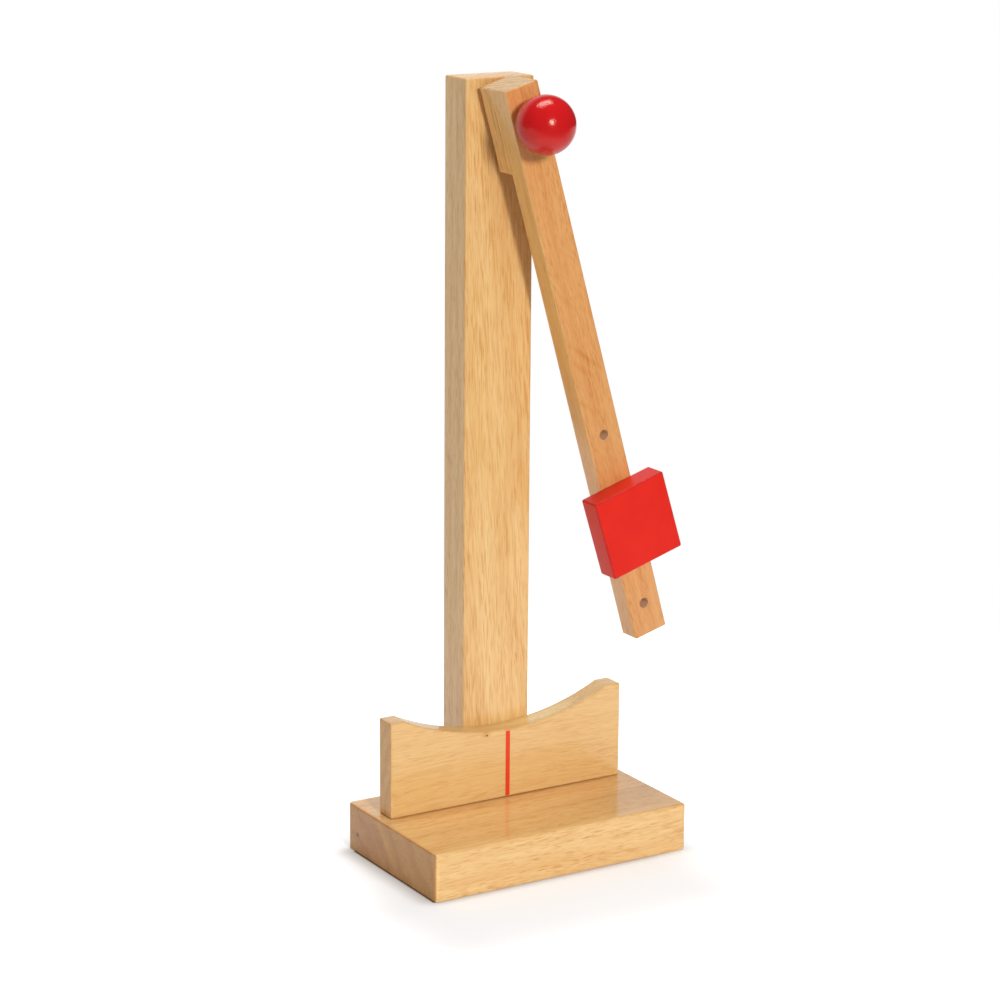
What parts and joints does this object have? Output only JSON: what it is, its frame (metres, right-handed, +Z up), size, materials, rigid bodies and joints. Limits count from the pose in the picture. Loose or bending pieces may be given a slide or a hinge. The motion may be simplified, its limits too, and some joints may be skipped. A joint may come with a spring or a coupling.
{
  "type": "simple pendulum apparatus",
  "caption": "Wooden classroom pendulum: a rigid arm with a movable red bob swings on a ball-capped pivot before an upright post, over a curved board with a red centre mark.",
  "frame": {"origin": "middle of the base's underside", "axes": "+Z up along the post, +Y to the back, +X to the right as seen from the front"},
  "size_m": [0.218, 0.122, 0.5374],
  "materials": {
    "stand_wood": "pale honey wood under clear lacquer",
    "arm_wood": "warm honey wood under clear lacquer",
    "dowel_wood": "plain sanded hardwood",
    "ball_lacquer": "red gloss lacquer on wood",
    "bob_paint": "red satin paint on wood",
    "mark_paint": "red line of paint",
    "screw_steel": "zinc-plated steel",
    "washer_steel": "zinc-plated steel",
    "spacer_nylon": "natural nylon"
  },
  "bodies": {
    "stand": {"base_block": "stand_wood", "upright_post": "stand_wood", "arc_board": "stand_wood", "centre_mark": "mark_paint", "post_screw_left": "screw_steel", "post_screw_right": "screw_steel", "board_screw_left": "screw_steel", "board_screw_right": "screw_steel", "pivot_axle": "dowel_wood", "rear_spacer": "spacer_nylon", "front_washer": "washer_steel", "pivot_ball": "ball_lacquer"},
    "pendulum": {"pendulum_arm": "arm_wood", "pivot_block": "arm_wood"},
    "bob": {"bob_block": "bob_paint", "bob_peg": "dowel_wood"}
  },
  "joints": [
    {"name": "pendulum_swing", "type": "hinge", "parent": "stand", "child": "pendulum", "pos_m": [0, 0, 0.51], "axis": [0, -1, 0], "continuous": true},
    {"name": "bob_pull", "type": "slide", "parent": "pendulum", "child": "bob", "axis": [0, -1, 0], "range_m": [0, 0.025]}
  ]
}
